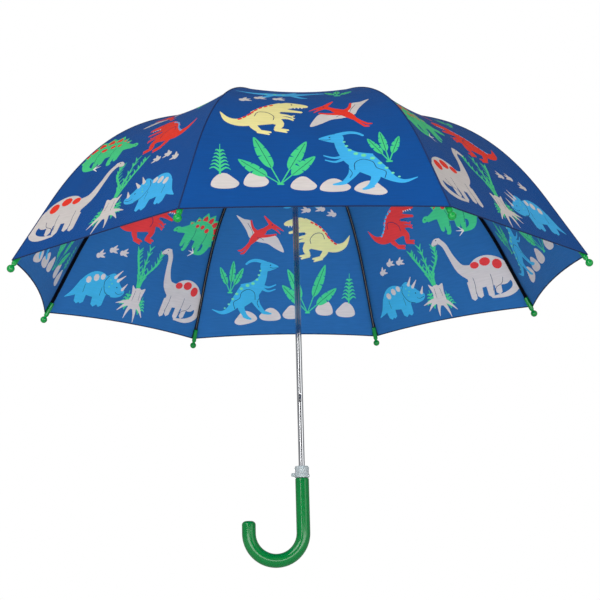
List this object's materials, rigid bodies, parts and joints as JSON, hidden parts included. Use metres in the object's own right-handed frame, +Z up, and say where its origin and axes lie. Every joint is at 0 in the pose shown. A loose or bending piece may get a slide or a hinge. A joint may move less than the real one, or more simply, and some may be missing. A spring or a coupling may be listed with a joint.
{
  "type": "children's umbrella",
  "caption": "Stick umbrella for a child: domed printed fabric canopy on flexing ribs, a sliding runner with stretchers, a steel shaft and a crook handle.",
  "frame": {"origin": "on the shaft's axis at the middle of the straight grip, where a hand holds it", "axes": "+Z up along the shaft to the ferrule; the crook opens towards -X; the spring catches face -Y"},
  "size_m": [0.674, 0.674, 0.5998],
  "materials": {
    "chrome": "polished",
    "wire": "drawn wire",
    "black_steel": "satin black",
    "blue_fabric": "woven polyester, printed",
    "green_plastic": "glossy",
    "black_plastic": "satin",
    "clear_plastic": "milky translucent"
  },
  "bodies": {
    "frame": {"shaft": "chrome", "handle": "green_plastic", "handle_collar": "clear_plastic", "top_notch": "black_plastic", "notch_wire": "wire", "crown_cap": "green_plastic", "ferrule": "green_plastic"},
    "runner": {"runner": "black_plastic", "runner_wire": "wire"},
    "top_catch": {"top_catch": "wire"},
    "bottom_catch": {"bottom_catch": "wire"},
    "rib_1_inner": {"rib_1_inner": "black_steel"},
    "rib_1_outer": {"rib_1_outer": "black_steel", "tip_1": "green_plastic"},
    "stretcher_1": {"stretcher_1": "black_steel"},
    "rib_2_inner": {"rib_2_inner": "black_steel"},
    "rib_2_outer": {"rib_2_outer": "black_steel", "tip_2": "green_plastic"},
    "stretcher_2": {"stretcher_2": "black_steel"},
    "rib_3_inner": {"rib_3_inner": "black_steel"},
    "rib_3_outer": {"rib_3_outer": "black_steel", "tip_3": "green_plastic"},
    "stretcher_3": {"stretcher_3": "black_steel"},
    "rib_4_inner": {"rib_4_inner": "black_steel"},
    "rib_4_outer": {"rib_4_outer": "black_steel", "tip_4": "green_plastic"},
    "stretcher_4": {"stretcher_4": "black_steel"},
    "rib_5_inner": {"rib_5_inner": "black_steel"},
    "rib_5_outer": {"rib_5_outer": "black_steel", "tip_5": "green_plastic"},
    "stretcher_5": {"stretcher_5": "black_steel"},
    "rib_6_inner": {"rib_6_inner": "black_steel"},
    "rib_6_outer": {"rib_6_outer": "black_steel", "tip_6": "green_plastic"},
    "stretcher_6": {"stretcher_6": "black_steel"},
    "rib_7_inner": {"rib_7_inner": "black_steel"},
    "rib_7_outer": {"rib_7_outer": "black_steel", "tip_7": "green_plastic"},
    "stretcher_7": {"stretcher_7": "black_steel"},
    "rib_8_inner": {"rib_8_inner": "black_steel"},
    "rib_8_outer": {"rib_8_outer": "black_steel", "tip_8": "green_plastic"},
    "stretcher_8": {"stretcher_8": "black_steel"},
    "gore_1_upper": {"gore_1_upper": "blue_fabric"},
    "gore_1_lower": {"gore_1_lower": "blue_fabric"},
    "gore_2_upper": {"gore_2_upper": "blue_fabric"},
    "gore_2_lower": {"gore_2_lower": "blue_fabric"},
    "gore_3_upper": {"gore_3_upper": "blue_fabric"},
    "gore_3_lower": {"gore_3_lower": "blue_fabric"},
    "gore_4_upper": {"gore_4_upper": "blue_fabric"},
    "gore_4_lower": {"gore_4_lower": "blue_fabric"},
    "gore_5_upper": {"gore_5_upper": "blue_fabric"},
    "gore_5_lower": {"gore_5_lower": "blue_fabric", "closure_strap": "blue_fabric"},
    "gore_6_upper": {"gore_6_upper": "blue_fabric"},
    "gore_6_lower": {"gore_6_lower": "blue_fabric"},
    "gore_7_upper": {"gore_7_upper": "blue_fabric"},
    "gore_7_lower": {"gore_7_lower": "blue_fabric"},
    "gore_8_upper": {"gore_8_upper": "blue_fabric"},
    "gore_8_lower": {"gore_8_lower": "blue_fabric"}
  },
  "joints": [
    {"name": "runner_slide", "type": "slide", "parent": "frame", "child": "runner", "axis": [0, 0, -1], "range_m": [0, 0.2879]},
    {"name": "rib_1_fold", "type": "hinge", "parent": "frame", "child": "rib_1_inner", "pos_m": [-0.00379, -0.00915, 0.49004], "axis": [0.9239, -0.3827, 0], "range_deg": [0, 74.34]},
    {"name": "rib_1_flex", "type": "hinge", "parent": "rib_1_inner", "child": "rib_1_outer", "pos_m": [-0.08541, -0.20621, 0.44307], "axis": [0.9239, -0.3827, 0], "range_deg": [-40.66, 0]},
    {"name": "stretcher_1_fold", "type": "hinge", "parent": "rib_1_inner", "child": "stretcher_1", "pos_m": [-0.06816, -0.16454, 0.46538], "axis": [0.9239, -0.3827, 0], "range_deg": [-148.67, 0]},
    {"name": "rib_2_fold", "type": "hinge", "parent": "frame", "child": "rib_2_inner", "pos_m": [0.00379, -0.00915, 0.49004], "axis": [0.9239, 0.3827, 0], "range_deg": [0, 74.34]},
    {"name": "rib_2_flex", "type": "hinge", "parent": "rib_2_inner", "child": "rib_2_outer", "pos_m": [0.08541, -0.20621, 0.44307], "axis": [0.9239, 0.3827, 0], "range_deg": [-40.66, 0]},
    {"name": "stretcher_2_fold", "type": "hinge", "parent": "rib_2_inner", "child": "stretcher_2", "pos_m": [0.06816, -0.16454, 0.46538], "axis": [0.9239, 0.3827, 0], "range_deg": [-148.67, 0]},
    {"name": "rib_3_fold", "type": "hinge", "parent": "frame", "child": "rib_3_inner", "pos_m": [0.00915, -0.00379, 0.49004], "axis": [0.3827, 0.9239, 0], "range_deg": [0, 74.34]},
    {"name": "rib_3_flex", "type": "hinge", "parent": "rib_3_inner", "child": "rib_3_outer", "pos_m": [0.20621, -0.08541, 0.44307], "axis": [0.3827, 0.9239, 0], "range_deg": [-40.66, 0]},
    {"name": "stretcher_3_fold", "type": "hinge", "parent": "rib_3_inner", "child": "stretcher_3", "pos_m": [0.16454, -0.06816, 0.46538], "axis": [0.3827, 0.9239, 0], "range_deg": [-148.67, 0]},
    {"name": "rib_4_fold", "type": "hinge", "parent": "frame", "child": "rib_4_inner", "pos_m": [0.00915, 0.00379, 0.49004], "axis": [-0.3827, 0.9239, 0], "range_deg": [0, 74.34]},
    {"name": "rib_4_flex", "type": "hinge", "parent": "rib_4_inner", "child": "rib_4_outer", "pos_m": [0.20621, 0.08541, 0.44307], "axis": [-0.3827, 0.9239, 0], "range_deg": [-40.66, 0]},
    {"name": "stretcher_4_fold", "type": "hinge", "parent": "rib_4_inner", "child": "stretcher_4", "pos_m": [0.16454, 0.06816, 0.46538], "axis": [-0.3827, 0.9239, 0], "range_deg": [-148.67, 0]},
    {"name": "rib_5_fold", "type": "hinge", "parent": "frame", "child": "rib_5_inner", "pos_m": [0.00379, 0.00915, 0.49004], "axis": [-0.9239, 0.3827, 0], "range_deg": [0, 74.34]},
    {"name": "rib_5_flex", "type": "hinge", "parent": "rib_5_inner", "child": "rib_5_outer", "pos_m": [0.08541, 0.20621, 0.44307], "axis": [-0.9239, 0.3827, 0], "range_deg": [-40.66, 0]},
    {"name": "stretcher_5_fold", "type": "hinge", "parent": "rib_5_inner", "child": "stretcher_5", "pos_m": [0.06816, 0.16454, 0.46538], "axis": [-0.9239, 0.3827, 0], "range_deg": [-148.67, 0]},
    {"name": "rib_6_fold", "type": "hinge", "parent": "frame", "child": "rib_6_inner", "pos_m": [-0.00379, 0.00915, 0.49004], "axis": [-0.9239, -0.3827, 0], "range_deg": [0, 74.34]},
    {"name": "rib_6_flex", "type": "hinge", "parent": "rib_6_inner", "child": "rib_6_outer", "pos_m": [-0.08541, 0.20621, 0.44307], "axis": [-0.9239, -0.3827, 0], "range_deg": [-40.66, 0]},
    {"name": "stretcher_6_fold", "type": "hinge", "parent": "rib_6_inner", "child": "stretcher_6", "pos_m": [-0.06816, 0.16454, 0.46538], "axis": [-0.9239, -0.3827, 0], "range_deg": [-148.67, 0]},
    {"name": "rib_7_fold", "type": "hinge", "parent": "frame", "child": "rib_7_inner", "pos_m": [-0.00915, 0.00379, 0.49004], "axis": [-0.3827, -0.9239, 0], "range_deg": [0, 74.34]},
    {"name": "rib_7_flex", "type": "hinge", "parent": "rib_7_inner", "child": "rib_7_outer", "pos_m": [-0.20621, 0.08541, 0.44307], "axis": [-0.3827, -0.9239, 0], "range_deg": [-40.66, 0]},
    {"name": "stretcher_7_fold", "type": "hinge", "parent": "rib_7_inner", "child": "stretcher_7", "pos_m": [-0.16454, 0.06816, 0.46538], "axis": [-0.3827, -0.9239, 0], "range_deg": [-148.67, 0]},
    {"name": "rib_8_fold", "type": "hinge", "parent": "frame", "child": "rib_8_inner", "pos_m": [-0.00915, -0.00379, 0.49004], "axis": [0.3827, -0.9239, 0], "range_deg": [0, 74.34]},
    {"name": "rib_8_flex", "type": "hinge", "parent": "rib_8_inner", "child": "rib_8_outer", "pos_m": [-0.20621, -0.08541, 0.44307], "axis": [0.3827, -0.9239, 0], "range_deg": [-40.66, 0]},
    {"name": "stretcher_8_fold", "type": "hinge", "parent": "rib_8_inner", "child": "stretcher_8", "pos_m": [-0.16454, -0.06816, 0.46538], "axis": [0.3827, -0.9239, 0], "range_deg": [-148.67, 0]},
    {"name": "gore_1_fold", "type": "hinge", "parent": "frame", "child": "gore_1_upper", "pos_m": [0, -0.00915, 0.49004], "axis": [1, 0, 0], "range_deg": [0, 71.9], "deforming": ["gore_1_upper"]},
    {"name": "gore_1_flex", "type": "hinge", "parent": "gore_1_upper", "child": "gore_1_lower", "pos_m": [0, -0.20823, 0.44642], "axis": [1, 0, 0], "range_deg": [-37.57, 0], "deforming": ["gore_1_lower"]},
    {"name": "gore_2_fold", "type": "hinge", "parent": "frame", "child": "gore_2_upper", "pos_m": [0.00647, -0.00647, 0.49004], "axis": [0.7071, 0.7071, 0], "range_deg": [0, 71.9], "deforming": ["gore_2_upper"]},
    {"name": "gore_2_flex", "type": "hinge", "parent": "gore_2_upper", "child": "gore_2_lower", "pos_m": [0.14724, -0.14724, 0.44642], "axis": [0.7071, 0.7071, 0], "range_deg": [-37.57, 0], "deforming": ["gore_2_lower"]},
    {"name": "gore_3_fold", "type": "hinge", "parent": "frame", "child": "gore_3_upper", "pos_m": [0.00915, 0, 0.49004], "axis": [0, 1, 0], "range_deg": [0, 71.9], "deforming": ["gore_3_upper"]},
    {"name": "gore_3_flex", "type": "hinge", "parent": "gore_3_upper", "child": "gore_3_lower", "pos_m": [0.20823, 0, 0.44642], "axis": [0, 1, 0], "range_deg": [-37.57, 0], "deforming": ["gore_3_lower"]},
    {"name": "gore_4_fold", "type": "hinge", "parent": "frame", "child": "gore_4_upper", "pos_m": [0.00647, 0.00647, 0.49004], "axis": [-0.7071, 0.7071, 0], "range_deg": [0, 71.9], "deforming": ["gore_4_upper"]},
    {"name": "gore_4_flex", "type": "hinge", "parent": "gore_4_upper", "child": "gore_4_lower", "pos_m": [0.14724, 0.14724, 0.44642], "axis": [-0.7071, 0.7071, 0], "range_deg": [-37.57, 0], "deforming": ["gore_4_lower"]},
    {"name": "gore_5_fold", "type": "hinge", "parent": "frame", "child": "gore_5_upper", "pos_m": [0, 0.00915, 0.49004], "axis": [-1, 0, 0], "range_deg": [0, 71.9], "deforming": ["gore_5_upper"]},
    {"name": "gore_5_flex", "type": "hinge", "parent": "gore_5_upper", "child": "gore_5_lower", "pos_m": [0, 0.20823, 0.44642], "axis": [-1, 0, 0], "range_deg": [-37.57, 0], "deforming": ["gore_5_lower", "closure_strap"]},
    {"name": "gore_6_fold", "type": "hinge", "parent": "frame", "child": "gore_6_upper", "pos_m": [-0.00647, 0.00647, 0.49004], "axis": [-0.7071, -0.7071, 0], "range_deg": [0, 71.9], "deforming": ["gore_6_upper"]},
    {"name": "gore_6_flex", "type": "hinge", "parent": "gore_6_upper", "child": "gore_6_lower", "pos_m": [-0.14724, 0.14724, 0.44642], "axis": [-0.7071, -0.7071, 0], "range_deg": [-37.57, 0], "deforming": ["gore_6_lower"]},
    {"name": "gore_7_fold", "type": "hinge", "parent": "frame", "child": "gore_7_upper", "pos_m": [-0.00915, 0, 0.49004], "axis": [0, -1, 0], "range_deg": [0, 71.9], "deforming": ["gore_7_upper"]},
    {"name": "gore_7_flex", "type": "hinge", "parent": "gore_7_upper", "child": "gore_7_lower", "pos_m": [-0.20823, 0, 0.44642], "axis": [0, -1, 0], "range_deg": [-37.57, 0], "deforming": ["gore_7_lower"]},
    {"name": "gore_8_fold", "type": "hinge", "parent": "frame", "child": "gore_8_upper", "pos_m": [-0.00647, -0.00647, 0.49004], "axis": [0.7071, -0.7071, 0], "range_deg": [0, 71.9], "deforming": ["gore_8_upper"]},
    {"name": "gore_8_flex", "type": "hinge", "parent": "gore_8_upper", "child": "gore_8_lower", "pos_m": [-0.14724, -0.14724, 0.44642], "axis": [0.7071, -0.7071, 0], "range_deg": [-37.57, 0], "deforming": ["gore_8_lower"]},
    {"name": "top_catch_press", "type": "slide", "parent": "frame", "child": "top_catch", "axis": [0, 1, 0], "range_m": [0, 0.0023], "stiffness_N_per_m": 300},
    {"name": "bottom_catch_press", "type": "slide", "parent": "frame", "child": "bottom_catch", "axis": [0, 1, 0], "range_m": [0, 0.0023], "stiffness_N_per_m": 300}
  ],
  "couplings": [
    {"joint": "rib_1_fold", "follows": "runner_slide", "rad_per_m": 4.5057},
    {"joint": "rib_1_flex", "follows": "runner_slide", "rad_per_m": -2.4636},
    {"joint": "stretcher_1_fold", "follows": "runner_slide", "rad_per_m": -9.0114},
    {"joint": "rib_2_fold", "follows": "runner_slide", "rad_per_m": 4.5057},
    {"joint": "rib_2_flex", "follows": "runner_slide", "rad_per_m": -2.4636},
    {"joint": "stretcher_2_fold", "follows": "runner_slide", "rad_per_m": -9.0114},
    {"joint": "rib_3_fold", "follows": "runner_slide", "rad_per_m": 4.5057},
    {"joint": "rib_3_flex", "follows": "runner_slide", "rad_per_m": -2.4636},
    {"joint": "stretcher_3_fold", "follows": "runner_slide", "rad_per_m": -9.0114},
    {"joint": "rib_4_fold", "follows": "runner_slide", "rad_per_m": 4.5057},
    {"joint": "rib_4_flex", "follows": "runner_slide", "rad_per_m": -2.4636},
    {"joint": "stretcher_4_fold", "follows": "runner_slide", "rad_per_m": -9.0114},
    {"joint": "rib_5_fold", "follows": "runner_slide", "rad_per_m": 4.5057},
    {"joint": "rib_5_flex", "follows": "runner_slide", "rad_per_m": -2.4636},
    {"joint": "stretcher_5_fold", "follows": "runner_slide", "rad_per_m": -9.0114},
    {"joint": "rib_6_fold", "follows": "runner_slide", "rad_per_m": 4.5057},
    {"joint": "rib_6_flex", "follows": "runner_slide", "rad_per_m": -2.4636},
    {"joint": "stretcher_6_fold", "follows": "runner_slide", "rad_per_m": -9.0114},
    {"joint": "rib_7_fold", "follows": "runner_slide", "rad_per_m": 4.5057},
    {"joint": "rib_7_flex", "follows": "runner_slide", "rad_per_m": -2.4636},
    {"joint": "stretcher_7_fold", "follows": "runner_slide", "rad_per_m": -9.0114},
    {"joint": "rib_8_fold", "follows": "runner_slide", "rad_per_m": 4.5057},
    {"joint": "rib_8_flex", "follows": "runner_slide", "rad_per_m": -2.4636},
    {"joint": "stretcher_8_fold", "follows": "runner_slide", "rad_per_m": -9.0114},
    {"joint": "gore_1_fold", "follows": "runner_slide", "rad_per_m": 4.3574},
    {"joint": "gore_1_flex", "follows": "runner_slide", "rad_per_m": -2.2763},
    {"joint": "gore_2_fold", "follows": "runner_slide", "rad_per_m": 4.3574},
    {"joint": "gore_2_flex", "follows": "runner_slide", "rad_per_m": -2.2763},
    {"joint": "gore_3_fold", "follows": "runner_slide", "rad_per_m": 4.3574},
    {"joint": "gore_3_flex", "follows": "runner_slide", "rad_per_m": -2.2763},
    {"joint": "gore_4_fold", "follows": "runner_slide", "rad_per_m": 4.3574},
    {"joint": "gore_4_flex", "follows": "runner_slide", "rad_per_m": -2.2763},
    {"joint": "gore_5_fold", "follows": "runner_slide", "rad_per_m": 4.3574},
    {"joint": "gore_5_flex", "follows": "runner_slide", "rad_per_m": -2.2763},
    {"joint": "gore_6_fold", "follows": "runner_slide", "rad_per_m": 4.3574},
    {"joint": "gore_6_flex", "follows": "runner_slide", "rad_per_m": -2.2763},
    {"joint": "gore_7_fold", "follows": "runner_slide", "rad_per_m": 4.3574},
    {"joint": "gore_7_flex", "follows": "runner_slide", "rad_per_m": -2.2763},
    {"joint": "gore_8_fold", "follows": "runner_slide", "rad_per_m": 4.3574},
    {"joint": "gore_8_flex", "follows": "runner_slide", "rad_per_m": -2.2763}
  ]
}
